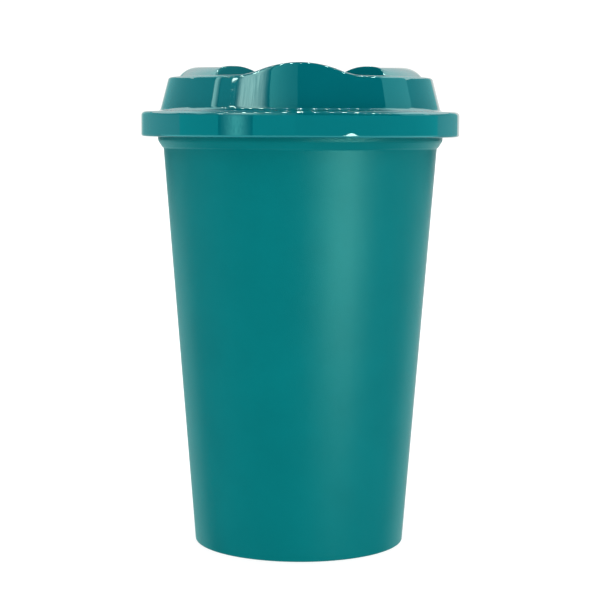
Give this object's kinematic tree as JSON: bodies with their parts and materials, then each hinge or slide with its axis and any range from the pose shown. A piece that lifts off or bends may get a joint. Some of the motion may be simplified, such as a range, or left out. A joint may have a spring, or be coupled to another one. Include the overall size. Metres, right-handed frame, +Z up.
{
  "type": "drinking tumbler",
  "caption": "Tapered plastic drinking tumbler with a press-on lid that has a raised wavy mouthpiece, side lobes, a sip hole and a vent.",
  "frame": {"origin": "centre of the foot ring, on the surface that the tumbler stands on", "axes": "+Z up along the cup's axis, -Y towards the mouthpiece, +X to the right as seen from the mouthpiece side"},
  "size_m": [0.0988, 0.0988, 0.1488],
  "materials": {
    "cup_plastic": "fine matte grain, teal",
    "lid_plastic": "smooth gloss, teal"
  },
  "bodies": {
    "cup": {"cup": "cup_plastic"},
    "lid": {"lid": "lid_plastic"}
  },
  "joints": [
    {"name": "lid_lift", "type": "slide", "parent": "cup", "child": "lid", "axis": [0, 0, 1], "range_m": [0, 0.05]}
  ]
}
